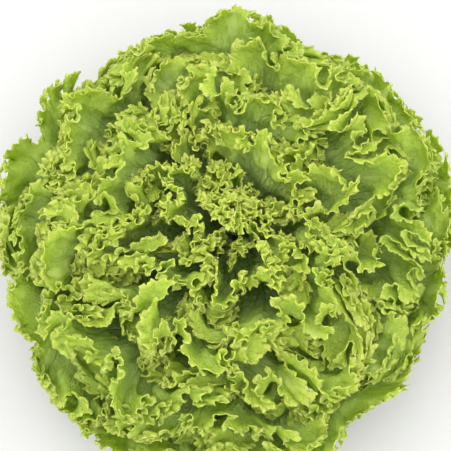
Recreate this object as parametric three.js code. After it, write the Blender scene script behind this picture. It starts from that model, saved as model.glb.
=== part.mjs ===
// A head of loose-leaf salad bowl lettuce, cut at the foot, standing on its cut stem.
// Millimetres, +Z up. The origin is the middle of the round cut face of the stem.
//
// Every leaf hangs in its own layer. The layers are numbered from the outermost leaf, 0, to the heart, and
// a fraction of a layer is a place between two leaves. All layers start on the stem and end on the dome of
// the head, and none crosses another. A leaf waves at most half way to the next leaf that stands beside it,
// so the frilled edges fill the head and no leaf meets another.
import * as THREE from "three";

// Driving dimensions of the head
const headRadius = 152;
const headTop = 142; // height of the dome over the surface that the head stands on
const domeMiddle = 46; // height at which the head is widest
const rimTurn = 106; // degrees from the top of the dome down to the outermost rim
const leafCount = 42;
const spareLayers = 2; // layers left free round the axis
const turnPerLeaf = 137.508; // degrees from each leaf to the next, as lettuce grows

// Driving dimensions of the stem
const stemRadius = 17;
const stemHeight = 50;
const stemBevel = 0.8; // round the cut
const stemSides = 20;
const stemRings = 6; // steps of the rounded top
const shoulderHeight = 12; // the stem is straight up to here, and rounds off above
const stemGap = 1.2; // between the stem and each leaf
const footTurn = 95; // degrees from the top of the stem down to the lowest leaf's foot

// How a layer runs from the stem out to the dome, in degrees over level
const outerRise = 2; // at the foot of the outermost layer
const heartRise = 84;
const heartLean = 84; // at the rim of the innermost layer
const leanFall = 0.5; // that a rim flares out more, for each degree down the dome
const riseHold = 0.42; // share of the way from foot to rim that the layer keeps to its rise
const leanHold = 0.36;

// Driving dimensions of a leaf. Lengths along a leaf are shares of its length.
const bladeThickness = 0.9;
const ribThickness = 2.4; // what the midrib adds at the foot of a leaf
const ribHalfWidth = 0.12; // as a share of the leaf's half width
const ribFade = 1.5; // the higher, the sooner the midrib fades
const footHalfAngle = 24; // degrees round the stem
const outerHalfAngle = 49; // degrees round the axis, of an outer leaf at its widest
const heartHalfAngle = 64;
const narrowestLeaf = 0.93; // of these angles
const outerWidestAt = 0.76;
const heartWidestAt = 0.86;
const heartFrom = 0.5; // share of the leaves, from where they become heart leaves
const lowestMarginAt = 0.27;
const marginTurn = 108; // degrees that the rounded margin runs, each way from the tip
const marginFan = 80; // degrees round the axis that are as long as a leaf
const rayBend = { aside: 0.32, up: 0.8 }; // where the veins turn outwards, as a share of their ends
const lobes = 7; // shallow lobes of the margin
const lobeReach = 0.07;
const lobeMiddle = 0.55; // the reach that leaves the margin where it is
const toothReach = 0.01;
const marginKept = 0.2; // share of lobes and teeth that is left at the sides of a leaf
const shortestLeaf = 0.9;
const leafSpread = 0.14;

// Waves of a leaf, in layers to each side: slow folds, ruffles nearer the margin, and the frill at the margin
const foldWaves = 5;
const foldDrift = { phase: 1.5, waves: 3.1 }; // which spaces the folds unevenly
const foldShare = 0.22; // of the room beside the leaf
const ruffleShare = 0.28;
const frillShare = 0.5;
const foldSpan = [0.2, 0.9]; // where the folds set in, and where they are full
const ruffleSpan = [0.6, 0.86];
const lobeSpan = [0.6, 1];
const frillFrom = 0.84;
const frillRise = 1.15; // the higher, the closer to the margin the frill stays
const frillUneven = { share: 0.2, waves: 11 };
const frillsBySize = [
  { belowLeaf: 22, frills: 24 },
  { belowLeaf: 34, frills: 20 },
  { belowLeaf: leafCount, frills: 12 },
];
const crowding = [
  { reach: 0.035, waves: 8, trait: 7 },
  { reach: 0.014, waves: 21, trait: 8 },
];

// Room beside a leaf, in layers
const mostRoom = 2.7; // where no other leaf stands beside it
const clearance = 0.32; // kept free half way to the next leaf
const heartClearance = 0.55; // the heart is crowded
const crowdedFrom = 0.7; // share of the leaves
const neighbourSteps = [1, 2, 3, 5, 8]; // leaves further in or out that can stand beside this one
const besideSpan = [3, 20]; // degrees from a leaf's side, over which it stops being beside another

// Leaves bend with their neighbours, so whole layers drift in and out on the way round the head
const drifts = [
  { layers: 1.5, turns: 4, perLayer: 0.1, start: 0.4 },
  { layers: 1.2, turns: 7, perLayer: -0.13, start: 2.1 },
  { layers: 0.9, turns: 11, perLayer: 0.15, start: 5.2 },
];
const driftSpan = [0.2, 0.9];
const calmLayers = 16; // layers round the axis over which the drift fades

// The head as a whole is uneven: space is pushed about a little, in waves of this direction and length
const sways = [
  { push: [3.2, 0, 1.4], along: [0.03, 0.052, 0.02], start: 0.4 },
  { push: [0, 3.2, -1.4], along: [-0.047, 0.028, 0.03], start: 2.1 },
  { push: [1.8, -1.4, 2.7], along: [0.081, -0.063, -0.02], start: 4.0 },
  { push: [-1.4, 1.8, 2.7], along: [0.055, 0.09, 0.03], start: 5.2 },
];
const swaySpan = [22, 110]; // from the origin
const groundGap = 2.5; // leaves that would sink settle this near the surface

// Rows of a leaf from its foot to its margin, each with a share of the columns that the frill needs
const rows = [
  { along: 0, share: 1 / 8 },
  { along: 0.3, share: 1 / 4 },
  { along: 0.62, share: 1 / 4 },
  { along: 0.84, share: 1 / 2 },
  { along: 1, share: 1 },
];
const evenTurns = 40; // steps that even out the normal of a pleat

// Each leaf differs a little in these traits
const traits = { width: 1, unevenness: 2, foldDrift: 3, foldStart: 4, length: 5, lobes: 9 };
const scatter = { leaf: 12.9898, trait: 78.233, stretch: 43758.5453 };

const outerColour = new THREE.Color(0x84aa39);
const heartColour = new THREE.Color(0xadce48);
const stemColour = new THREE.Color(0xdfe3b8);
const leafRoughness = 0.5;
const stemRoughness = 0.6;

const degrees = Math.PI / 180;
const wholeTurn = 2 * Math.PI;
const mix = (a, b, share) => a + (b - a) * share;
const clamp = (x, low, high) => Math.min(high, Math.max(low, x));
const smooth = (low, high, x) => {
  const share = clamp((x - low) / (high - low), 0, 1);
  return share * share * (3 - 2 * share);
};

// A fixed number from 0 to 1 for a leaf and one of its traits
function chance(leaf, trait) {
  const spread = Math.sin(leaf * scatter.leaf + trait * scatter.trait) * scatter.stretch;
  return spread - Math.floor(spread);
}

const inwardOf = (leaf) => leaf / (leafCount - 1);
const heartShare = (leaf) => smooth(heartFrom, 1, inwardOf(leaf));
const halfAngleOf = (leaf) => mix(outerHalfAngle, heartHalfAngle, heartShare(leaf));
const frillsOf = (leaf) => frillsBySize.find(({ belowLeaf }) => leaf < belowLeaf).frills;

function pointAt(angle, length) {
  return new THREE.Vector2(Math.cos(angle * degrees), Math.sin(angle * degrees)).multiplyScalar(length);
}

// Profile of a layer in the plane of the axis: along runs from 0 at the stem to 1 at the rim
function profilePoint(layer, along) {
  const inward = (layer + 0.5) / (leafCount + spareLayers);
  const down = (1 - inward) * footTurn * degrees;
  const foot = new THREE.Vector2(
    (stemRadius + stemGap) * Math.sin(down),
    shoulderHeight + (stemHeight + stemGap - shoulderHeight) * Math.cos(down),
  );
  const polar = (1 - inward) * rimTurn;
  const rim = new THREE.Vector2(
    headRadius * Math.sin(polar * degrees),
    domeMiddle + (headTop - domeMiddle) * Math.cos(polar * degrees),
  );
  const reach = foot.distanceTo(rim);
  const lift = pointAt(mix(outerRise, heartRise, inward), riseHold * reach);
  const flare = pointAt(heartLean - leanFall * polar, leanHold * reach);
  const curve = new THREE.CubicBezierCurve(foot, foot.clone().add(lift), rim.clone().sub(flare), rim);
  return curve.getPoint(along);
}

// Layers that a leaf may swing at a place beside its midrib, in or out: half way to the next leaf there
function roomBeside(leaf, aside, direction) {
  let room = mostRoom;
  for (const step of neighbourSteps) {
    const neighbour = leaf + step * direction;
    if (neighbour < 0 || neighbour >= leafCount) continue;
    const turned = THREE.MathUtils.euclideanModulo(step * direction * turnPerLeaf + 180, 360) - 180;
    const gap = Math.abs(aside - turned) - halfAngleOf(neighbour);
    room = Math.min(room, step / 2 + mostRoom * smooth(...besideSpan, gap));
  }
  return room - mix(clearance, heartClearance, smooth(crowdedFrom, 1, inwardOf(leaf)));
}

// Layers that the whole head drifts inwards at a place
function drift(azimuth, layer, up) {
  let shift = 0;
  for (const { layers, turns, perLayer, start } of drifts) {
    shift += layers * Math.sin(turns * azimuth + perLayer * layer + start);
  }
  return shift * smooth(...driftSpan, up) * smooth(0, calmLayers, leafCount + spareLayers - layer);
}

function sway(point) {
  const out = point.clone();
  const reach = smooth(...swaySpan, point.length());
  for (const { push, along, start } of sways) {
    const wave = Math.sin(new THREE.Vector3(...along).dot(point) + start) * reach;
    out.addScaledVector(new THREE.Vector3(...push), wave);
  }
  const settled = (out.z + Math.hypot(out.z, 2 * groundGap)) / 2;
  out.z = mix(out.z, settled, reach);
  return out;
}

// Place of a point of a leaf before it waves: degrees beside its midrib, and how far up its layer. column
// runs from -1 to 1 over the leaf, along from 0 at the foot to 1 at the margin.
function placeOnLeaf(leaf, column, across, along) {
  // A ray runs from the foot, beside the midrib, and bends out to its place on the rounded margin
  const halfAngle = halfAngleOf(leaf) * mix(narrowestLeaf, 1, chance(leaf, traits.width));
  const widestAt = mix(outerWidestAt, heartWidestAt, heartShare(leaf));
  const marginAngle = across * marginTurn * degrees;
  const drop = Math.abs(marginAngle) < Math.PI / 2 ? 1 - widestAt : widestAt - lowestMarginAt;
  const edgeAt = widestAt + drop * Math.cos(marginAngle);
  const ray = new THREE.QuadraticBezierCurve(
    new THREE.Vector2(across * footHalfAngle, 0),
    new THREE.Vector2(across * halfAngle * rayBend.aside, edgeAt * rayBend.up),
    new THREE.Vector2(halfAngle * Math.sin(marginAngle), edgeAt),
  ).getPoint(along);

  // Lobes and teeth reach out from the margin, and fade down the sides
  const lobe = Math.abs(Math.sin((lobes / 2) * Math.PI * across + 3 * chance(leaf, traits.lobes)));
  const reach = toothReach * Math.cos(Math.PI * frillsOf(leaf) * column) + lobeReach * (lobe - lobeMiddle);
  const kept = mix(1, marginKept, smooth(0.5, 1, Math.abs(column)));
  const out = reach * kept * smooth(...lobeSpan, along);
  const length = shortestLeaf + leafSpread * chance(leaf, traits.length);
  return {
    aside: ray.x + out * marginFan * Math.sin(marginAngle),
    up: ray.y * length + out * edgeAt * Math.cos(marginAngle),
  };
}

// Point of a leaf's middle sheet
function leafPoint(leaf, column, along) {
  let across = column; // the columns crowd and spread a little, so the waves aren't even
  for (const { reach, waves, trait } of crowding) {
    across += reach * Math.sin(waves * column + wholeTurn * chance(leaf, trait));
  }
  const { aside, up } = placeOnLeaf(leaf, column, across, along);

  const drifted = foldDrift.waves * across + wholeTurn * chance(leaf, traits.foldDrift);
  const foldPhase = Math.PI * foldWaves * across + foldDrift.phase * Math.sin(drifted);
  const fold = Math.cos(foldPhase + wholeTurn * chance(leaf, traits.foldStart));
  const frillPhase = Math.PI * frillsOf(leaf) * column;
  const ruffle = Math.cos(frillPhase / 2 + Math.PI * (leaf % 2));
  const unevenPhase = frillUneven.waves * column + wholeTurn * chance(leaf, traits.unevenness);
  const frill = Math.cos(frillPhase) * (1 - frillUneven.share + frillUneven.share * Math.sin(unevenPhase));
  const frillOn = Math.max(0, (along - frillFrom) / (1 - frillFrom)) ** frillRise;
  const wave =
    foldShare * fold * smooth(...foldSpan, along) +
    ruffleShare * ruffle * smooth(...ruffleSpan, along) +
    frillShare * frill * frillOn;

  const layer = leaf + wave * roomBeside(leaf, aside, Math.sign(wave));
  const azimuth = (leaf * turnPerLeaf + aside) * degrees;
  const profile = profilePoint(layer + drift(azimuth, layer, up), up);
  return sway(new THREE.Vector3(profile.x * Math.cos(azimuth), profile.x * Math.sin(azimuth), profile.y));
}

// Thickness under the middle sheet: the blade, and the midrib that fades towards the tip
function thicknessBelow(column, along) {
  const rib = ribThickness * Math.exp(-((column / ribHalfWidth) ** 2)) * (1 - along) ** ribFade;
  return bladeThickness / 2 + rib;
}

// Triangles between two rows of a sheet, the upper one with as many columns or twice as many
function stitch(low, high, triangles) {
  const twice = high.columns === 2 * low.columns;
  for (let i = 0; i < low.columns; i++) {
    const a = low.start + i;
    const p = high.start + (twice ? 2 * i : i);
    if (twice) {
      triangles.push([a, p + 1, p], [a, a + 1, p + 1], [a + 1, p + 2, p + 1]);
    } else {
      triangles.push([a, a + 1, p + 1], [a, p + 1, p]);
    }
  }
}

// Direction that faces all the triangles round a corner as evenly as it can, so that sharp pleats keep their
// thickness
function evenNormal(facings) {
  const normal = new THREE.Vector3();
  for (const facing of facings) normal.add(facing);
  normal.normalize();
  for (let turn = 1; turn <= evenTurns; turn++) {
    const dots = facings.map((facing) => facing.dot(normal));
    const worst = facings[dots.indexOf(Math.min(...dots))];
    normal.addScaledVector(worst, 1 / (turn + 2)).normalize();
  }
  return normal;
}

// Corners round the edge of a sheet, in the turning sense of its triangles
function outline(bands) {
  const foot = bands[0];
  const margin = bands[bands.length - 1];
  const edge = [];
  for (let i = 0; i < foot.columns; i++) edge.push(foot.start + i);
  for (const { start, columns } of bands.slice(0, -1)) edge.push(start + columns);
  for (let i = margin.columns; i > 0; i--) edge.push(margin.start + i);
  for (const { start } of bands.slice(1).reverse()) edge.push(start);
  return edge;
}

// A closed leaf: a middle sheet of facets, pushed out to an upper and a lower face that are split alike
function leafGeometry(leaf) {
  const sheet = [];
  const below = [];
  const bands = [];
  for (const { along, share } of rows) {
    const columns = 2 * frillsOf(leaf) * share;
    bands.push({ start: sheet.length, columns });
    for (let i = 0; i <= columns; i++) {
      const column = -1 + (2 * i) / columns;
      sheet.push(leafPoint(leaf, column, along));
      below.push(thicknessBelow(column, along));
    }
  }
  const triangles = [];
  for (let i = 1; i < bands.length; i++) stitch(bands[i - 1], bands[i], triangles);

  const facings = sheet.map(() => []);
  for (const [a, b, c] of triangles) {
    const side = new THREE.Vector3().subVectors(sheet[b], sheet[a]);
    const facing = side.cross(new THREE.Vector3().subVectors(sheet[c], sheet[a])).normalize();
    for (const corner of [a, b, c]) facings[corner].push(facing);
  }
  const normals = facings.map(evenNormal);
  const positions = [];
  for (const [i, point] of sheet.entries()) {
    positions.push(...point.clone().addScaledVector(normals[i], bladeThickness / 2).toArray());
  }
  for (const [i, point] of sheet.entries()) {
    positions.push(...point.clone().addScaledVector(normals[i], -below[i]).toArray());
  }

  const index = [];
  const count = sheet.length;
  for (const [a, b, c] of triangles) index.push(a, b, c, count + a, count + c, count + b);
  const edge = outline(bands);
  for (const [i, a] of edge.entries()) {
    const b = edge[(i + 1) % edge.length];
    index.push(a, count + a, count + b, a, count + b, b);
  }
  const geometry = new THREE.BufferGeometry();
  geometry.setAttribute("position", new THREE.Float32BufferAttribute(positions, 3));
  geometry.setIndex(index);
  geometry.computeVertexNormals();
  return geometry;
}

// The stem: a short stump with a round cut foot, hidden by the leaves above its shoulder
function stemGeometry() {
  const profile = [
    new THREE.Vector2(0, 0),
    new THREE.Vector2(stemRadius - stemBevel, 0),
    new THREE.Vector2(stemRadius, stemBevel),
  ];
  for (let ring = 0; ring < stemRings; ring++) {
    const turn = (1 - ring / stemRings) * 90 * degrees;
    const height = shoulderHeight + (stemHeight - shoulderHeight) * Math.cos(turn);
    profile.push(new THREE.Vector2(stemRadius * Math.sin(turn), height));
  }
  profile.push(new THREE.Vector2(0, stemHeight));
  return new THREE.LatheGeometry(profile, stemSides).rotateX(Math.PI / 2);
}

const lettuce = new THREE.Group();
const stemMaterial = new THREE.MeshStandardMaterial({
  color: stemColour,
  roughness: stemRoughness,
  metalness: 0,
});
const stem = new THREE.Mesh(stemGeometry(), stemMaterial);
stem.name = "stem";
lettuce.add(stem);

for (let leaf = 0; leaf < leafCount; leaf++) {
  const material = new THREE.MeshStandardMaterial({
    color: outerColour.clone().lerp(heartColour, inwardOf(leaf)),
    roughness: leafRoughness,
    metalness: 0,
  });
  const blade = new THREE.Mesh(leafGeometry(leaf), material);
  blade.name = `leaf_${String(leaf + 1).padStart(2, "0")}`;
  lettuce.add(blade);
}

export default lettuce;
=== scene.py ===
import math
import time

import bpy
import numpy as np
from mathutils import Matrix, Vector


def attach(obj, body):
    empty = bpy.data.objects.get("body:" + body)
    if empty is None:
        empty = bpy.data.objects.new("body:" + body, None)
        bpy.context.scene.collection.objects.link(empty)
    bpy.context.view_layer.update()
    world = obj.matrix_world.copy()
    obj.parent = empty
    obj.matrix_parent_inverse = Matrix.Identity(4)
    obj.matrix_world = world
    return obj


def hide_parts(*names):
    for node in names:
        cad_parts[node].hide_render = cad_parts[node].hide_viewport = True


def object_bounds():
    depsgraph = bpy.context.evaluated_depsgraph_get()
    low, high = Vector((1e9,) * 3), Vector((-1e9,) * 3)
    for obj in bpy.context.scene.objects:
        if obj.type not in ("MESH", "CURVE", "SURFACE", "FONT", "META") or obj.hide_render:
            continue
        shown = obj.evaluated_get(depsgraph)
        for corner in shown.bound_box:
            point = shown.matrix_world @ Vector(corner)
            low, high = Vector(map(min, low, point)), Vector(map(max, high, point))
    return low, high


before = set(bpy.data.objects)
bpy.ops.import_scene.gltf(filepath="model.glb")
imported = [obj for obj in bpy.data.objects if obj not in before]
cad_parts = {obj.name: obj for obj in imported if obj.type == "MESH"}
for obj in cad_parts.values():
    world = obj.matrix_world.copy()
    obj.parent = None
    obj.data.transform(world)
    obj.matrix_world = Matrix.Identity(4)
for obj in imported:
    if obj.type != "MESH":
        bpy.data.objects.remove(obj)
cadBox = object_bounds()
startTime = time.time()

# The head, in millimetres and degrees: every leaf hangs in its own layer, counted from the outermost one
head = {
    "radius": 152,
    "top": 142,  # height of the dome
    "middle": 46,  # height where the head is widest
    "rimTurn": 106,  # from the top of the dome down to the outermost rim
    "leaves": 42,
    "spareLayers": 2,
    "turnPerLeaf": 137.508,
    "riseOuter": 2,  # of a layer over level, at its foot
    "riseHeart": 84,
    "riseHold": 0.42,
    "leanHeart": 84,  # of a layer over level, at its rim
    "leanFall": 0.5,
    "leanHold": 0.36,
}
stump = {
    "radius": 17,
    "height": 50,
    "shoulder": 12,
    "bevel": 0.8,
    "gap": -1.4,  # the leaves' feet are sunk this far into the stem
    "footTurn": 95,
}
leafShape = {
    "footHalfAngle": 24,
    "halfAngle": (49, 64),  # of an outer leaf and of a heart leaf
    "narrowest": 0.93,
    "widestAt": (0.76, 0.86),
    "heartFrom": 0.5,
    "lowestMarginAt": 0.27,
    "marginTurn": 108,
    "marginFan": 80,
    "bendAside": 0.32,
    "bendUp": 0.8,
    "lobes": 7,
    "lobeReach": 0.07,
    "lobeMiddle": 0.55,
    "lobeStart": 3,
    "toothReach": 0.01,
    "marginKept": 0.2,  # share of lobes and teeth that is left at the sides of a leaf
    "keptSpan": (0.5, 1),
    "shortest": 0.9,
    "spread": 0.14,
    "thickness": 0.5,
}
waves = {
    "folds": 5,
    "foldDrift": (1.5, 3.1),
    "foldShare": 0.22,
    "ruffleShare": 0.28,
    "frillShare": 0.5,
    "foldSpan": (0.2, 0.9),
    "ruffleSpan": (0.6, 0.86),
    "lobeSpan": (0.6, 1),
    "frillFrom": 0.85,
    "frillRise": 1.1,
    "uneven": (0.2, 11),
    "crowding": ((0.035, 8, "wideCrowding"), (0.014, 21, "narrowCrowding")),  # reach, waves, trait
    "mostRoom": 2.7,
    "clearance": (0.32, 0.55),
    "crowdedFrom": 0.7,
    "neighbourSteps": (1, 2, 3, 5, 8),
    "besideSpan": (3, 20),
    "drifts": (  # layers, turns, per layer, start
        (1.5, 4, 0.1, 0.4),
        (1.2, 7, -0.13, 2.1),
        (0.9, 11, 0.15, 5.2),
    ),
    "driftSpan": (0.2, 0.9),
    "calmLayers": 16,
    "sways": (  # millimetres, turns along x, y and z, start
        ((3.2, 0, 1.4), (0.03, 0.052, 0.02), 0.4),
        ((0, 3.2, -1.4), (-0.047, 0.028, 0.03), 2.1),
        ((1.8, -1.4, 2.7), (0.081, -0.063, -0.02), 4.0),
        ((-1.4, 1.8, 2.7), (0.055, 0.09, 0.03), 5.2),
    ),
    "swaySpan": (22, 110),
    "groundGap": 2.5,
}
# Only in the finished leaf: the ruffles and the frill swing further, the frill rolls into loops, and small
# curls and pointed teeth run along the margin. Swings and slides are for an outer leaf and for the heart.
curls = {
    "ruffleSwing": (0.8, 0.2),  # in layers, beyond the room beside the leaf
    "frillSwing": (1.4, 0.5),
    "swingSpan": (0.7, 0.97),
    "freest": 0.8,  # that the outermost leaves swing further than the rest
    "freeUntil": (2, 14),
    "heartSpan": (0.7, 0.95),
    "loop": 1.45,  # how far the frill folds back on itself
    "skew": 1.3,  # how far its loops lean aside
    "skewWaves": 7,
    "uneven": 0.35,
    "unevenWaves": (5, 13),
    "evenSpan": (0.55, 0.84),  # where the columns get even spaces along the edge
    "edgeSteps": 6001,
    "length": 9.6,  # of a small curl along the margin
    "bends": ((1.6, 31, "slowBend"), (0.9, 11.3, "quickBend")),  # turn, millimetres, trait
    "strength": (0.65, 0.25, 17, 0.2, 43),  # middle, change, its millimetres, slow change, its millimetres
    "leafStrength": (0.75, 1.25),
    "swing": (2.1, 3.1),
    "slide": (1.3, 1.6),
    "span": (0.89, 1),
    "rise": 2.6,
    "finestAt": math.radians(205),  # the side of the head with the strongest small curls
    "finer": 0.6,
    "teeth": ((8.6, 3.6, (0.93, 1)), (3.3, 2.1, (0.965, 1))),  # pitch, height, span
    "toothDrift": (0.6, 2.3),  # of its place, and in how many pitches
    "toothPoint": (1.5, 0.35),  # sharpness, and share of the height that is cut in
    "toothUneven": (0.25, 3.9),
    "heartSize": 0.72,  # of the small curls and teeth in the heart
    "puffs": (2.5, (0.29, 0.06, 0.13), (-0.07, 0.26, 0.16)),  # height, and the directions of their rows
    "puffSpan": (0.3, 0.62, 0.84, 0.96),
}
# In what the leaves differ by chance
traits = {
    "width": 1,
    "unevenness": 2,
    "foldDrift": 3,
    "foldStart": 4,
    "length": 5,
    "wideCrowding": 7,
    "narrowCrowding": 8,
    "lobes": 9,
    "slowBend": 10,
    "quickBend": 11,
    "curls": 12,
    "skew": 13,
    "fewSwings": 14,
    "manySwings": 15,
    "leafStrength": 16,
}
scatter = {"perLeaf": 12.9898, "perTrait": 78.233, "reach": 43758.5453}  # far apart for neighbours


def mix(low, high, share):
    return low + (high - low) * share


def smooth(low, high, x):
    share = np.clip((x - low) / (high - low), 0, 1)
    return share * share * (3 - 2 * share)


def chance(leaf, trait):  # a fixed number from 0 to 1
    angle = leaf * scatter["perLeaf"] + traits[trait] * scatter["perTrait"]
    spread = math.sin(angle) * scatter["reach"]
    return spread - math.floor(spread)


def anyPhase(leaf, trait):
    return 2 * math.pi * chance(leaf, trait)


def heartShare(leaf):
    return smooth(leafShape["heartFrom"], 1, leaf / (head["leaves"] - 1))


def halfAngleOf(leaf):
    return mix(*leafShape["halfAngle"], heartShare(leaf))


# From the outside in: leaves up to the last one of a kind, their frills, and their slot
leafKinds = ((22, 24, "outer_leaf"), (34, 20, "inner_leaf"), (44, 12, "heart_leaf"))


def kindOf(leaf):
    return next(kind for kind in leafKinds if leaf < kind[0])


def frillsOf(leaf):
    return kindOf(leaf)[1]


def slotOf(leaf):
    return kindOf(leaf)[2]


# Distance from the axis and height of a point of a layer, in its plane through the axis
def profilePoint(layer, up):
    inward = (layer + 0.5) / (head["leaves"] + head["spareLayers"])
    down = np.radians((1 - inward) * stump["footTurn"])
    footR = (stump["radius"] + stump["gap"]) * np.sin(down)
    footZ = stump["shoulder"] + (stump["height"] + stump["gap"] - stump["shoulder"]) * np.cos(down)
    polar = (1 - inward) * head["rimTurn"]
    rimR = head["radius"] * np.sin(np.radians(polar))
    rimZ = head["middle"] + (head["top"] - head["middle"]) * np.cos(np.radians(polar))
    rise = np.radians(mix(head["riseOuter"], head["riseHeart"], inward))
    lean = np.radians(head["leanHeart"] - head["leanFall"] * polar)
    reach = np.hypot(rimR - footR, rimZ - footZ)
    riseReach, leanReach = head["riseHold"] * reach, head["leanHold"] * reach
    rest = 1 - up
    shares = (rest**3, 3 * rest * rest * up, 3 * rest * up * up, up**3)
    radii = (footR, footR + riseReach * np.cos(rise), rimR - leanReach * np.cos(lean), rimR)
    heights = (footZ, footZ + riseReach * np.sin(rise), rimZ - leanReach * np.sin(lean), rimZ)
    return sum(s * r for s, r in zip(shares, radii)), sum(s * z for s, z in zip(shares, heights))


# Layers that a leaf may swing to one side: half way to the next leaf that stands there
def roomBeside(leaf, aside, direction):
    room = np.full(aside.shape, float(waves["mostRoom"]))
    for step in waves["neighbourSteps"]:
        for sign in (1, -1):
            neighbour = leaf + step * sign
            if 0 <= neighbour < head["leaves"]:
                turned = (step * sign * head["turnPerLeaf"] + 180) % 360 - 180
                gap = np.abs(aside - turned) - halfAngleOf(neighbour)
                limit = step / 2 + waves["mostRoom"] * smooth(*waves["besideSpan"], gap)
                room = np.where(direction == sign, np.minimum(room, limit), room)
    crowded = smooth(waves["crowdedFrom"], 1, leaf / (head["leaves"] - 1))
    return room - mix(*waves["clearance"], crowded)


def drift(azimuth, layer, up):
    shift = 0
    for layers, turns, perLayer, start in waves["drifts"]:
        shift = shift + layers * np.sin(turns * azimuth + perLayer * layer + start)
    left = head["leaves"] + head["spareLayers"] - layer
    return shift * smooth(*waves["driftSpan"], up) * smooth(0, waves["calmLayers"], left)


def sway(points):
    reach = smooth(*waves["swaySpan"], np.linalg.norm(points, axis=1))
    out = points.copy()
    for push, along, start in waves["sways"]:
        out += np.outer(np.sin(points @ np.array(along) + start) * reach, push)
    settled = (out[:, 2] + np.hypot(out[:, 2], 2 * waves["groundGap"])) / 2
    out[:, 2] = mix(out[:, 2], settled, reach)
    return out


# Degrees beside the midrib and share of the layer's length, before the leaf waves
def placeOnLeaf(leaf, column, across, along):
    shape = leafShape
    halfAngle = halfAngleOf(leaf) * mix(shape["narrowest"], 1, chance(leaf, "width"))
    widestAt = mix(*shape["widestAt"], heartShare(leaf))
    marginAngle = np.radians(across * shape["marginTurn"])
    drop = np.where(np.abs(marginAngle) < math.pi / 2, 1 - widestAt, widestAt - shape["lowestMarginAt"])
    edgeAt = widestAt + drop * np.cos(marginAngle)
    rest = 1 - along
    rayAside = rest**2 * across * shape["footHalfAngle"] + along**2 * halfAngle * np.sin(marginAngle)
    rayAside = rayAside + 2 * rest * along * across * halfAngle * shape["bendAside"]
    rayUp = 2 * rest * along * edgeAt * shape["bendUp"] + along**2 * edgeAt
    lobePhase = shape["lobes"] / 2 * math.pi * across + shape["lobeStart"] * chance(leaf, "lobes")
    lobe = np.abs(np.sin(lobePhase))
    reach = shape["toothReach"] * np.cos(math.pi * frillsOf(leaf) * column)
    reach = reach + shape["lobeReach"] * (lobe - shape["lobeMiddle"])
    kept = mix(1, shape["marginKept"], smooth(*shape["keptSpan"], np.abs(column)))
    out = reach * kept * smooth(*waves["lobeSpan"], along)
    length = shape["shortest"] + shape["spread"] * chance(leaf, "length")
    aside = rayAside + out * shape["marginFan"] * np.sin(marginAngle)
    return aside, rayUp * length + out * edgeAt * np.cos(marginAngle)


def curlHeart(leaf):
    return smooth(*curls["heartSpan"], leaf / (head["leaves"] - 1))


def frillOnAt(along):
    share = np.clip((along - waves["frillFrom"]) / (1 - waves["frillFrom"]), 0, None)
    return share ** waves["frillRise"]


# Points of a leaf with its folds, ruffles and rolled frill, in millimetres
def leafPoints(leaf, column, along):
    frills = frillsOf(leaf)
    frillPhase = math.pi * frills * column
    frillOn = frillOnAt(along)
    skewPhase = curls["skewWaves"] * column + anyPhase(leaf, "skew")
    skew = curls["skew"] * np.sin(skewPhase) * np.cos(frillPhase)
    rolled = column + (curls["loop"] * np.sin(2 * frillPhase) + skew) / (math.pi * frills) * frillOn**2
    across = rolled
    for reach, count, trait in waves["crowding"]:
        across = across + reach * np.sin(count * rolled + anyPhase(leaf, trait))
    aside, up = placeOnLeaf(leaf, column, across, along)
    driftPhase, driftWaves = waves["foldDrift"]
    foldPhase = math.pi * waves["folds"] * across
    foldPhase = foldPhase + driftPhase * np.sin(driftWaves * across + anyPhase(leaf, "foldDrift"))
    fold = np.cos(foldPhase + anyPhase(leaf, "foldStart"))
    ruffle = np.cos(frillPhase / 2 + math.pi * (leaf % 2))
    share, count = waves["uneven"]
    unevenness = np.sin(count * column + anyPhase(leaf, "unevenness"))
    frill = np.cos(frillPhase) * (1 - share + share * unevenness)
    wave = waves["foldShare"] * fold * smooth(*waves["foldSpan"], along)
    wave = wave + waves["ruffleShare"] * ruffle * smooth(*waves["ruffleSpan"], along)
    wave = wave + waves["frillShare"] * frill * frillOn
    inHeart = curlHeart(leaf)
    few, many = curls["unevenWaves"]
    swings = np.sin(few * column + anyPhase(leaf, "fewSwings"))
    swings = swings + np.sin(many * column + anyPhase(leaf, "manySwings"))
    strength = 1 + curls["uneven"] * swings
    further = mix(*curls["ruffleSwing"], inHeart) * ruffle * smooth(*curls["swingSpan"], along)
    further = further + mix(*curls["frillSwing"], inHeart) * strength * frill * frillOn
    further = further * (1 + curls["freest"] * (1 - smooth(*curls["freeUntil"], leaf)))
    layer = leaf + wave * roomBeside(leaf, aside, np.sign(wave)) + further
    azimuth = np.radians(leaf * head["turnPerLeaf"] + aside)
    radius, height = profilePoint(layer + drift(azimuth, layer, up), up)
    return sway(np.stack([radius * np.cos(azimuth), radius * np.sin(azimuth), height], 1))


# Columns are spaced evenly along the true length of the rolled edge, which is returned with them
def evenColumns(leaf, column):
    fine = np.linspace(-1, 1, curls["edgeSteps"])
    edge = leafPoints(leaf, fine, np.ones_like(fine))
    steps = np.linalg.norm(np.diff(edge, axis=0), axis=1)
    travelled = np.concatenate([[0], np.cumsum(steps)])
    wanted = (column + 1) / 2 * travelled[-1]
    return np.interp(wanted, travelled, fine), wanted


def unit(vectors):
    return vectors / np.maximum(np.linalg.norm(vectors, axis=1, keepdims=True), 1e-9)


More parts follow.
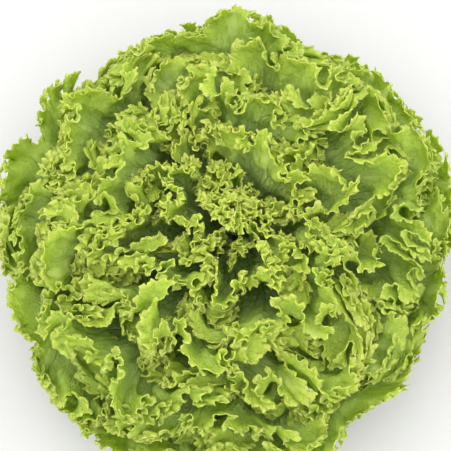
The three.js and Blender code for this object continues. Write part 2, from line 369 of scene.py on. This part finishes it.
# Adds the small curls, teeth and puffs, which lie in the leaf's own directions
def finishedPoints(leaf, column, along):
    even, travelled = evenColumns(leaf, column)
    column = mix(column, even, smooth(*curls["evenSpan"], along))
    points = leafPoints(leaf, column, along)
    step = 1e-4
    sideways = unit(leafPoints(leaf, column + step, along) - points)
    outwards = points - leafPoints(leaf, column, along - step)
    normal = unit(np.cross(sideways, outwards))
    outwards = np.cross(normal, sideways)
    inHeart = curlHeart(leaf)
    size = mix(1, curls["heartSize"], inHeart)
    phase = 0
    for turn, length, trait in curls["bends"]:
        phase = phase + turn * np.sin(travelled / length + anyPhase(leaf, trait))
    phase = 2 * math.pi * travelled / (curls["length"] * size) + phase
    middle, change, length, slowChange, slowLength = curls["strength"]
    strength = middle + change * np.sin(travelled / length + anyPhase(leaf, "curls"))
    strength = strength + slowChange * np.sin(travelled / slowLength + leaf)
    finestAt = curls["finestAt"]
    towards = points[:, 0] * math.cos(finestAt) + points[:, 1] * math.sin(finestAt)
    strength = strength * (1 + curls["finer"] * towards / head["radius"])
    strength = strength * mix(*curls["leafStrength"], chance(leaf, "leafStrength"))
    start, end = curls["span"]
    grow = np.clip((along - start) / (end - start), 0, 1) ** curls["rise"]
    swing, slide = (mix(*curls[key], inHeart) * strength * grow for key in ("swing", "slide"))
    points = points + normal * (swing * np.cos(phase))[:, None]
    points = points + sideways * (slide * np.sin(2 * phase))[:, None]
    drifted, pitches = curls["toothDrift"]
    sharpness, cutIn = curls["toothPoint"]
    share, count = curls["toothUneven"]
    for pitch, height, span in curls["teeth"]:
        turn = travelled / (pitch * size)
        turn = turn + drifted * np.sin(travelled / (pitches * pitch * size) + leaf)
        point = (1 - 2 * np.abs(turn % 1 - 0.5)) ** sharpness - cutIn
        out = height * (1 - share + share * np.sin(turn * count + leaf)) * point * smooth(*span, along)
        points = points + outwards * out[:, None]
    puffed, rowsOne, rowsTwo = curls["puffs"]
    start, full, fade, end = curls["puffSpan"]
    puff = np.sin(points @ np.array(rowsOne)) * np.sin(points @ np.array(rowsTwo))
    puff = puffed * puff * smooth(start, full, along) * (1 - smooth(fade, end, along))
    return points + normal * puff[:, None]


def softPositive(distance, rounding):
    return (distance + np.hypot(distance, rounding)) / 2


softStop = {"spare": 1.2, "rounding": 2.0, "groundRounding": 0.6}


# Keeps the tips of the frill inside the head's own box and off the surface, with a soft stop that leaves
# room for the thickness
def heldIn(points):
    spare = softStop["spare"] * leafShape["thickness"]
    rounding = softStop["rounding"]
    low, high = np.array(cadBox[0]) * 1000 + spare, np.array(cadBox[1]) * 1000 - spare
    points = high - softPositive(high - points, rounding)
    return low + softPositive(points - low, np.array([rounding, rounding, softStop["groundRounding"]]))


# A flat leaf with ever more columns towards its margin. x runs across it, and y counts its rows.
flat = {
    "columnsPerFrill": 3,
    "rows": (0, 0.14, 0.26, 0.36, 0.44, 0.505, 0.565, 0.615, 0.66, 0.7, 0.74, 0.775)
    + (0.81, 0.84, 0.868, 0.893, 0.918, 0.942, 0.963, 0.982, 1),
    "doubledFrom": (7, 12, 16, 19),  # rows from which the columns are twice as many
}


def flatLeaf(frills):
    rows = len(flat["rows"]) - 1
    bpy.ops.object.select_all(action="DESELECT")
    columns = flat["columnsPerFrill"] * frills
    bpy.ops.mesh.primitive_grid_add(x_subdivisions=columns, y_subdivisions=rows, size=2)
    leaf = bpy.context.object
    leaf.name = f"flatLeaf{frills}"
    # From each of these rows on, every edge that runs across the leaf is cut in two
    for row in flat["doubledFrom"]:
        lowest = -1 + 2 * (row - 0.5) / rows
        bpy.ops.object.mode_set(mode="EDIT")
        bpy.ops.mesh.select_mode(type="EDGE")
        bpy.ops.mesh.select_all(action="DESELECT")
        bpy.ops.object.mode_set(mode="OBJECT")
        vertices = leaf.data.vertices
        for edge in leaf.data.edges:
            a, b = (vertices[i].co.y for i in edge.vertices)
            edge.select = abs(a - b) < 1e-4 and a > lowest
        bpy.ops.object.mode_set(mode="EDIT")
        bpy.ops.mesh.subdivide(number_cuts=1, ngon=False)
        bpy.ops.object.mode_set(mode="OBJECT")
    return leaf


# Column and share of the length of each vertex of a flat leaf
def placesOn(leaf):
    flatCo = np.empty(len(leaf.data.vertices) * 3)
    leaf.data.vertices.foreach_get("co", flatCo)
    flatCo = flatCo.reshape(-1, 3)
    rows = len(flat["rows"]) - 1
    along = np.interp((flatCo[:, 1] + 1) / 2 * rows, np.arange(rows + 1), flat["rows"])
    return np.clip(flatCo[:, 0], -1, 1), along


rib = {"thickness": 2.4, "halfWidth": 0.12, "fade": 1.5, "least": 0.01}


# A leaf of the head, shaped from a copy of the flat one and given its thickness
def shapedLeaf(number, flatOne, column, along, material):
    bpy.ops.object.select_all(action="DESELECT")
    flatOne.select_set(True)
    bpy.context.view_layer.objects.active = flatOne
    bpy.ops.object.duplicate()
    leaf = bpy.context.object
    leaf.name = leaf.data.name = f"frilled_leaf_{number + 1:02d}"
    points = heldIn(finishedPoints(number, column, along))
    leaf.data.vertices.foreach_set("co", (points / 1000).ravel())
    uvLayer = leaf.data.uv_layers.active
    uvLayer.name = "leafMap"
    corners = np.empty(len(leaf.data.loops), np.int32)
    leaf.data.loops.foreach_get("vertex_index", corners)
    uv = np.stack([(column[corners] + 1) / 2, along[corners]], 1)
    uvLayer.data.foreach_set("uv", uv.astype(np.float32).ravel())
    ribShare = np.exp(-((column / rib["halfWidth"]) ** 2)) * (1 - along) ** rib["fade"]
    thickest = leafShape["thickness"] + rib["thickness"]
    group = leaf.vertex_groups.new(name="rib")
    for index in np.nonzero(ribShare > rib["least"])[0]:
        group.add([int(index)], float(ribShare[index]), "REPLACE")
    solidify = leaf.modifiers.new("thickness", "SOLIDIFY")
    solidify.thickness = thickest / 1000
    solidify.offset = -1
    solidify.vertex_group = "rib"
    solidify.thickness_vertex_group = leafShape["thickness"] / thickest
    bpy.ops.object.modifier_apply(modifier="thickness")
    bpy.ops.object.shade_smooth()
    leaf.data.materials.clear()
    leaf.data.materials.append(material)
    return leaf


# Colours along the leaf, from the foot to the thin bright rim, with painted light in the inner and rim
# stops, those of veins and of light that shines through, the painted shade in the grooves, and the sizes of
# its patterns
tissue = {
    # Partly painted light: the stops at 0.3 and 0.66 are lighter and bluer than the leaf's own green. They
    # stand in for the lifted, bluish shade deep between the leaves. The bright rim stops are the margin's
    # own paler colour with a painted highlight on top.
    "ramp": (
        (0.0, (0.55, 0.64, 0.32)),
        (0.3, (0.475, 0.64, 0.27)),
        (0.66, (0.475, 0.64, 0.18)),
        (0.86, (0.485, 0.635, 0.10)),
        (0.955, (0.50, 0.645, 0.07)),
        (0.982, (0.56, 0.68, 0.085)),
        (1.0, (0.745, 0.805, 0.19)),
    ),
    "vein": (0.61, 0.70, 0.23),
    "through": (0.54, 0.67, 0.075),
    "grooveShadeTint": (0.78, 0.84, 0.78),  # painted shade that darkens the grooves between the puckers
    "fresh": (1.08, 1.04, 1.0),  # what lightens the inner leaves
    "blotches": 42,  # per metre, as all scales here
    "blotchRoughness": 0.6,
    "shift": 0.14,  # that blotches move the colours along the leaf
    "rimHold": (8, 0.75),  # how late and how far that ends near the rim
    "bends": 60,
    "waviness": 0.04,  # of the veins
    "sideVeins": (22, 0.12),  # count, and width in shares of their spacing
    "sideFade": (0.98, 0.7),
    "fineVeins": (74, 0.2),
    "fineBand": (0.78, 0.2),  # where they are seen, and how far beside it
    "fineShare": 0.5,
    "midrib": (0.055, -0.05),  # half width at the foot, and its change along the leaf
    "midribSide": (1.0, 0.4),
    "cells": 240,
    "cellWalls": (0.12, 0.45),  # width and share
    "puckers": 170,
    "grooveShade": (2, 1.6),  # sharpness and depth of the painted shade in the grooves
    "rise": (-0.9, -0.35),  # of puckers and veins
    "roughness": (0.2, 0.4),  # that blotches change, and the least
}


def linked(tree, node, socket, value):
    if isinstance(value, bpy.types.NodeSocket):
        tree.links.new(value, node.inputs[socket])
    else:
        node.inputs[socket].default_value = value


def addNode(tree, kind, inputs=None, **settings):
    node = tree.nodes.new(kind)
    for key, value in settings.items():
        setattr(node, key, value)
    for socket, value in (inputs or {}).items():
        linked(tree, node, socket, value)
    return node


def mathNode(tree, operation, *values):
    node = addNode(tree, "ShaderNodeMath", operation=operation)
    for index, value in enumerate(values):
        linked(tree, node, index, value)
    return node.outputs[0]


def mixedColour(tree, share, low, high, blend="MIX"):
    node = addNode(tree, "ShaderNodeMix", data_type="RGBA", blend_type=blend)
    for socket, value in ((0, share), (6, low), (7, high)):
        linked(tree, node, socket, value)
    return node.outputs[2]


# 1 within a band round 0 and 0 past it, with a soft side
def bandNode(tree, value, width):
    sockets = {"Value": value, "From Min": width, "From Max": 0.0}
    return addNode(tree, "ShaderNodeMapRange", sockets).outputs[0]


# Veins that run beside each other up the leaf
def veinLines(tree, across, count, width):
    turn = mathNode(tree, "FRACT", mathNode(tree, "MULTIPLY", across, count))
    return bandNode(tree, mathNode(tree, "ABSOLUTE", mathNode(tree, "SUBTRACT", turn, 0.5)), width)


# Leaf tissue: colour along the leaf with painted light in it, veins that fan out from the midrib, a fine
# net, and a puckered surface with painted shade in its grooves
def tissueGroup():
    group = bpy.data.node_groups.new("leafTissue", "ShaderNodeTree")
    for name, value in (("Fresh", 0.5), ("Veins", 0.3)):
        socket = group.interface.new_socket(name, in_out="INPUT", socket_type="NodeSocketFloat")
        socket.default_value = value
    for name, kind in (("Color", "Color"), ("Roughness", "Float"), ("Height", "Float")):
        group.interface.new_socket(name, in_out="OUTPUT", socket_type="NodeSocket" + kind)
    source = addNode(group, "NodeGroupInput")
    target = addNode(group, "NodeGroupOutput")
    uvMap = addNode(group, "ShaderNodeUVMap", uv_map="leafMap").outputs[0]
    spot = addNode(group, "ShaderNodeTexCoord").outputs["Object"]
    across, along = addNode(group, "ShaderNodeSeparateXYZ", {0: uvMap}).outputs[:2]
    blotchSockets = {"Vector": spot, "Scale": tissue["blotches"], "Detail": 4}
    blotchSockets["Roughness"] = tissue["blotchRoughness"]
    blotch = addNode(group, "ShaderNodeTexNoise", blotchSockets).outputs[0]
    centred = mathNode(group, "SUBTRACT", blotch, 0.5)
    lateness, held = tissue["rimHold"]
    inner = mathNode(group, "MULTIPLY_ADD", mathNode(group, "POWER", along, lateness), -held, 1)
    moved = mathNode(group, "MULTIPLY", mathNode(group, "MULTIPLY", centred, tissue["shift"]), inner)
    # The colour along the leaf, with painted light in its inner and rim stops
    ramp = addNode(group, "ShaderNodeValToRGB", {0: mathNode(group, "ADD", moved, along)})
    stops = ramp.color_ramp.elements
    while len(stops) < len(tissue["ramp"]):
        stops.new(0.5)
    for stop, (place, colour) in zip(stops, tissue["ramp"]):
        stop.position, stop.color = place, (*colour, 1)

    bendSockets = {"Vector": spot, "Scale": tissue["bends"], "Detail": 2}
    bend = addNode(group, "ShaderNodeTexNoise", bendSockets).outputs[0]
    bend = mathNode(group, "SUBTRACT", bend, 0.5)
    bent = mathNode(group, "MULTIPLY_ADD", bend, tissue["waviness"], across)
    side = veinLines(group, bent, *tissue["sideVeins"])
    fadeStart, fadeEnd = tissue["sideFade"]
    fadeSockets = {"Value": along, "From Min": fadeStart, "From Max": fadeEnd}
    sideFade = addNode(group, "ShaderNodeMapRange", fadeSockets).outputs[0]
    fine = veinLines(group, bent, *tissue["fineVeins"])
    finePlace, fineReach = tissue["fineBand"]
    fineDistance = mathNode(group, "ABSOLUTE", mathNode(group, "SUBTRACT", along, finePlace))
    fine = mathNode(group, "MULTIPLY", fine, bandNode(group, fineDistance, fineReach))
    middle = mathNode(group, "ABSOLUTE", mathNode(group, "SUBTRACT", bent, 0.5))
    footWidth, widthChange = tissue["midrib"]
    ribWidth = mathNode(group, "MULTIPLY_ADD", along, widthChange, footWidth)
    ribEdge, ribFull = tissue["midribSide"]
    beside = mathNode(group, "DIVIDE", middle, ribWidth)
    ribSockets = {"Value": beside, "From Min": ribEdge, "From Max": ribFull}
    midrib = addNode(group, "ShaderNodeMapRange", ribSockets).outputs[0]
    netSockets = {"Vector": spot, "Scale": tissue["cells"]}
    net = addNode(group, "ShaderNodeTexVoronoi", netSockets, feature="DISTANCE_TO_EDGE").outputs[0]
    wallWidth, wallShare = tissue["cellWalls"]
    netLines = mathNode(group, "MULTIPLY", bandNode(group, net, wallWidth), wallShare)
    veins = mathNode(group, "MAXIMUM", mathNode(group, "MULTIPLY", side, sideFade), midrib)
    veins = mathNode(group, "MAXIMUM", veins, mathNode(group, "MULTIPLY", fine, tissue["fineShare"]))
    veins = mathNode(group, "MAXIMUM", veins, netLines)
    puckerSockets = {"Vector": spot, "Scale": tissue["puckers"]}
    pucker = addNode(group, "ShaderNodeTexVoronoi", puckerSockets, feature="SMOOTH_F1").outputs[0]
    # Painted shade: the colour is darkened in the grooves between the puckers, where shade would fall
    sharpness, depth = tissue["grooveShade"]
    grooveShade = mathNode(group, "MULTIPLY", mathNode(group, "POWER", pucker, sharpness), depth)
    veinShare = mathNode(group, "MULTIPLY", veins, source.outputs["Veins"])
    grooveShaded = mixedColour(group, grooveShade, ramp.outputs[0], (*tissue["grooveShadeTint"], 1), "MULTIPLY")
    coloured = mixedColour(group, veinShare, grooveShaded, (*tissue["vein"], 1))
    freshened = mixedColour(group, source.outputs["Fresh"], coloured, (*tissue["fresh"], 1), "MULTIPLY")
    group.links.new(freshened, target.inputs["Color"])

    puckerRise, veinRise = tissue["rise"]
    veinHeight = mathNode(group, "MULTIPLY", veins, veinRise)
    height = mathNode(group, "MULTIPLY_ADD", pucker, puckerRise, veinHeight)
    group.links.new(height, target.inputs["Height"])
    rough = mathNode(group, "MULTIPLY_ADD", blotch, *tissue["roughness"])
    group.links.new(rough, target.inputs["Roughness"])
    return group


leafTissue = tissueGroup()
leafFinish = {"specular": 0.3, "bump": 0.0024, "through": 0.5, "throughTint": 0.5}


def leafMaterial(name, fresh, veins):
    material = bpy.data.materials.new(name)
    material.use_nodes = True
    tree = material.node_tree
    principled = tree.nodes["Principled BSDF"]
    principled.inputs["Specular IOR Level"].default_value = leafFinish["specular"]
    look = addNode(tree, "ShaderNodeGroup", {}, node_tree=leafTissue)
    look.inputs["Fresh"].default_value = fresh
    look.inputs["Veins"].default_value = veins
    bumpSockets = {"Height": look.outputs["Height"], "Strength": 1.0, "Distance": leafFinish["bump"]}
    bump = addNode(tree, "ShaderNodeBump", bumpSockets)
    tree.links.new(look.outputs["Color"], principled.inputs["Base Color"])
    tree.links.new(look.outputs["Roughness"], principled.inputs["Roughness"])
    tree.links.new(bump.outputs[0], principled.inputs["Normal"])
    lit = mixedColour(tree, leafFinish["throughTint"], look.outputs["Color"], (*tissue["through"], 1))
    through = addNode(tree, "ShaderNodeBsdfTranslucent", {"Color": lit, "Normal": bump.outputs[0]})
    shaders = {0: leafFinish["through"], 1: principled.outputs[0], 2: through.outputs[0]}
    both = addNode(tree, "ShaderNodeMixShader", shaders)
    tree.links.new(both.outputs[0], tree.nodes["Material Output"].inputs["Surface"])
    return material


# Name, share of the fresh tint, and share of the veins' colour
leafLooks = {
    "outer_leaf": leafMaterial("outerLeaf", 0.0, 0.5),
    "inner_leaf": leafMaterial("innerLeaf", 0.5, 0.45),
    "heart_leaf": leafMaterial("heartLeaf", 1.0, 0.4),
}

flatLeaves = {}
for _, frills, _ in leafKinds:
    flatOne = flatLeaf(frills)
    flatLeaves[frills] = (flatOne, *placesOn(flatOne))
print("flat leaves ready", round(time.time() - startTime, 1))

triangles = 0
for number in range(head["leaves"] + head["spareLayers"]):
    slotName = slotOf(number)
    leaf = shapedLeaf(number, *flatLeaves[frillsOf(number)], leafLooks[slotName])
    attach(leaf, "root")
    if number < head["leaves"]:
        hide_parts(f"leaf_{number + 1:02d}")
    triangles += sum(len(face.vertices) - 2 for face in leaf.data.polygons)
for flatOne, column, along in flatLeaves.values():
    bpy.data.objects.remove(flatOne)
print("leaves ready", triangles, "triangles", round(time.time() - startTime, 1))

# The stem: a flat cut with a pith in its middle, straight sides with leaf scars, and a rounded top
stem = {
    "segments": 96,
    "rings": 64,
    "cutUntil": 0.34,  # shares of the rings, from the middle of the cut to the top
    "bevelUntil": 0.4,
    "sideUntil": 0.62,
    "scars": 26,
    "scarStart": 2.5,  # height of the lowest scar
    "scarRise": 1.3,  # height that each scar lies over the one before
    "scarTurn": 90,
    "scarDepth": 0.7,
    "scarHalf": (3.4, 1.1),  # half width and half height
    "scarFoot": (0.5, 2),  # heights over which they begin
    "scarTop": (49, 36),  # and over which they end
    "cutWaves": 0.12,
    "cutWaveTurn": (0.55, 0.4, 1),  # per millimetre, direction, start
    "cutRim": 0.3,
    "cutCalm": (16, 12),  # radii over which the waves end
    "pith": 9.5,
    "bundles": 13.0,
}


# Radius and height of the stem's profile at a share of the way from the middle of the cut to the top
def stemProfile(share):
    knots = (0, stem["cutUntil"], stem["bevelUntil"], stem["sideUntil"])
    radius, bevel = stump["radius"], stump["bevel"]
    turn = np.clip((share - stem["sideUntil"]) / (1 - stem["sideUntil"]), 0, 1) * math.pi / 2
    radii = np.interp(share, knots, (0, radius - bevel, radius, radius)) * np.cos(turn)
    heights = np.interp(share, knots, (0, 0, bevel, stump["shoulder"]))
    return radii, heights + (stump["height"] - stump["shoulder"]) * np.sin(turn)


def shapedStem():
    bpy.ops.object.select_all(action="DESELECT")
    bpy.ops.mesh.primitive_uv_sphere_add(segments=stem["segments"], ring_count=stem["rings"], radius=1)
    piece = bpy.context.object
    piece.name = piece.data.name = "cutStem"
    ball = np.empty(len(piece.data.vertices) * 3)
    piece.data.vertices.foreach_get("co", ball)
    ball = ball.reshape(-1, 3)
    azimuth = np.arctan2(ball[:, 1], ball[:, 0])
    radii, heights = stemProfile(np.arccos(np.clip(-ball[:, 2], -1, 1)) / math.pi)
    onSide = smooth(*stem["scarFoot"], heights) * smooth(*stem["scarTop"], heights)
    halfWidth, halfHeight = stem["scarHalf"]
    for scar in range(stem["scars"]):
        middle = math.radians(scar * head["turnPerLeaf"] + stem["scarTurn"])
        away = (azimuth - middle + math.pi) % (2 * math.pi) - math.pi
        above = heights - stem["scarStart"] - scar * stem["scarRise"]
        reach = (away * stump["radius"] / halfWidth) ** 2 + (above / halfHeight) ** 2
        radii = radii - stem["scarDepth"] * np.exp(-reach) * onSide
    onCut = 1 - smooth(0, stem["cutRim"], heights)
    turns, direction, start = stem["cutWaveTurn"]
    waved = stem["cutWaves"] * (1 + np.sin(turns * radii * np.cos(azimuth - direction) + start))
    waved = waved * onCut * smooth(*stem["cutCalm"], radii)
    shaped = np.stack([radii * np.cos(azimuth), radii * np.sin(azimuth), heights + waved], 1)
    piece.data.vertices.foreach_set("co", (shaped / 1000).ravel())
    bpy.ops.object.shade_smooth()
    return piece


stemLook = {
    "cut": ((0.48, 0.50, 0.36), (0.45, 0.48, 0.30), (0.38, 0.43, 0.21), (0.30, 0.38, 0.14)),
    "rimAt": 0.8,
    "wobble": (160, 0.002),  # per metre, and reach in metres
    "dot": (0.33, 0.28, 0.12),
    "dots": (420, 0.45),  # per metre, and width
    "dotRing": 0.0022,
    "dotShare": 0.6,
    "dotDepth": -0.5,
    "skin": ((0.30, 0.40, 0.13), (0.44, 0.51, 0.26)),
    "skinPatches": 90,
    "skinFrom": (0.0005, 0.002),
    "roughness": (0.25, 0.26),
    "softness": (0.2, 0.004),
    "grain": (0.5, 0.0006),
}


# Pale wet flesh: a light pith, a ring of darker bundles that leak a little, and a green skin up the sides
def stemMaterial():
    material = bpy.data.materials.new("stemFlesh")
    material.use_nodes = True
    tree = material.node_tree
    principled = tree.nodes["Principled BSDF"]
    spot = addNode(tree, "ShaderNodeTexCoord").outputs["Object"]
    x, y, z = addNode(tree, "ShaderNodeSeparateXYZ", {0: spot}).outputs
    onPlane = addNode(tree, "ShaderNodeCombineXYZ", {0: x, 1: y}).outputs[0]
    length = addNode(tree, "ShaderNodeVectorMath", {0: onPlane}, operation="LENGTH").outputs["Value"]
    wobbles, wobbleReach = stemLook["wobble"]
    wobble = addNode(tree, "ShaderNodeTexNoise", {"Vector": spot, "Scale": wobbles, "Detail": 3}).outputs[0]
    radial = mathNode(tree, "MULTIPLY_ADD", mathNode(tree, "SUBTRACT", wobble, 0.5), wobbleReach, length)
    ring = mathNode(tree, "ABSOLUTE", mathNode(tree, "SUBTRACT", radial, stem["bundles"] / 1000))
    dotCount, dotWidth = stemLook["dots"]
    bundles = addNode(tree, "ShaderNodeTexVoronoi", {"Vector": onPlane, "Scale": dotCount}).outputs[0]
    inRing = bandNode(tree, ring, stemLook["dotRing"])
    dots = mathNode(tree, "MULTIPLY", inRing, bandNode(tree, bundles, dotWidth))
    radialShare = mathNode(tree, "DIVIDE", radial, stump["radius"] / 1000)
    ramp = addNode(tree, "ShaderNodeValToRGB", {0: radialShare})
    stops = ramp.color_ramp.elements
    while len(stops) < len(stemLook["cut"]):
        stops.new(0.5)
    places = (0.0, stem["pith"] / stump["radius"], stemLook["rimAt"], 1.0)
    for stop, place, colour in zip(stops, places, stemLook["cut"]):
        stop.position, stop.color = place, (*colour, 1)
    dotShare = mathNode(tree, "MULTIPLY", dots, stemLook["dotShare"])
    dotted = mixedColour(tree, dotShare, ramp.outputs[0], (*stemLook["dot"], 1))
    skinSockets = {"Vector": spot, "Scale": stemLook["skinPatches"], "Detail": 5}
    skin = addNode(tree, "ShaderNodeTexNoise", skinSockets).outputs[0]
    darkSkin, lightSkin = stemLook["skin"]
    green = mixedColour(tree, skin, (*darkSkin, 1), (*lightSkin, 1))
    low, high = stemLook["skinFrom"]
    up = addNode(tree, "ShaderNodeMapRange", {"Value": z, "From Min": low, "From Max": high}).outputs[0]
    tree.links.new(mixedColour(tree, up, dotted, green), principled.inputs["Base Color"])
    rough = mathNode(tree, "MULTIPLY_ADD", skin, *stemLook["roughness"])
    tree.links.new(rough, principled.inputs["Roughness"])
    weight, depth = stemLook["softness"]
    principled.inputs["Subsurface Weight"].default_value = weight
    principled.inputs["Subsurface Scale"].default_value = depth
    grain = mathNode(tree, "ADD", mathNode(tree, "MULTIPLY", dots, stemLook["dotDepth"]), skin)
    strength, distance = stemLook["grain"]
    bump = addNode(tree, "ShaderNodeBump", {"Height": grain, "Strength": strength, "Distance": distance})
    tree.links.new(bump.outputs[0], principled.inputs["Normal"])
    return material


stemPiece = shapedStem()
stemPiece.data.materials.append(stemMaterial())
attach(stemPiece, "root")
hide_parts("stem")
print("stem ready", round(time.time() - startTime, 1))

# A plain pale floor in a soft, bright room, with the camera high over the head
stage = {
    "floor": (0.47, 0.465, 0.455),
    "floorSize": 8,
    "floorRoughness": 0.8,
    "room": (0.98, 0.99, 1.0),
    "roomStrength": 2.22,
    "sunTurn": (-22, -16),
    "sunStrength": 0.45,
    "sunAngle": 0.6,
    "elevation": 75,
    "distance": 0.9,
    "lens": 108,
    "aim": (-0.0033, 0.0073, 0.05),
}
bpy.ops.object.select_all(action="DESELECT")
bpy.ops.mesh.primitive_plane_add(size=stage["floorSize"])
floor = bpy.context.object
floor.name = "floor"
floorMaterial = bpy.data.materials.new("floor")
floorMaterial.use_nodes = True
floorPrincipled = floorMaterial.node_tree.nodes["Principled BSDF"]
floorPrincipled.inputs["Base Color"].default_value = (*stage["floor"], 1)
floorPrincipled.inputs["Roughness"].default_value = stage["floorRoughness"]
floor.data.materials.append(floorMaterial)

scene = bpy.context.scene
world = bpy.data.worlds.new("softRoom")
scene.world = world
world.use_nodes = True
background = world.node_tree.nodes["Background"]
background.inputs[0].default_value = (*stage["room"], 1)
background.inputs[1].default_value = stage["roomStrength"]
tiltX, tiltY = (math.radians(angle) for angle in stage["sunTurn"])
bpy.ops.object.light_add(type="SUN", rotation=(tiltX, tiltY, 0))
sun = bpy.context.object
sun.data.energy = stage["sunStrength"]
sun.data.angle = stage["sunAngle"]
elevation = math.radians(stage["elevation"])
backwards = Vector((0, -math.cos(elevation), math.sin(elevation)))
bpy.ops.object.camera_add(location=Vector(stage["aim"]) + backwards * stage["distance"])
camera = bpy.context.object
camera.rotation_euler = (-backwards).to_track_quat("-Z", "Y").to_euler()
camera.data.lens = stage["lens"]
scene.camera = camera
scene.view_settings.view_transform = "Standard"

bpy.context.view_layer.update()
print("scene ready", round(time.time() - startTime, 1))
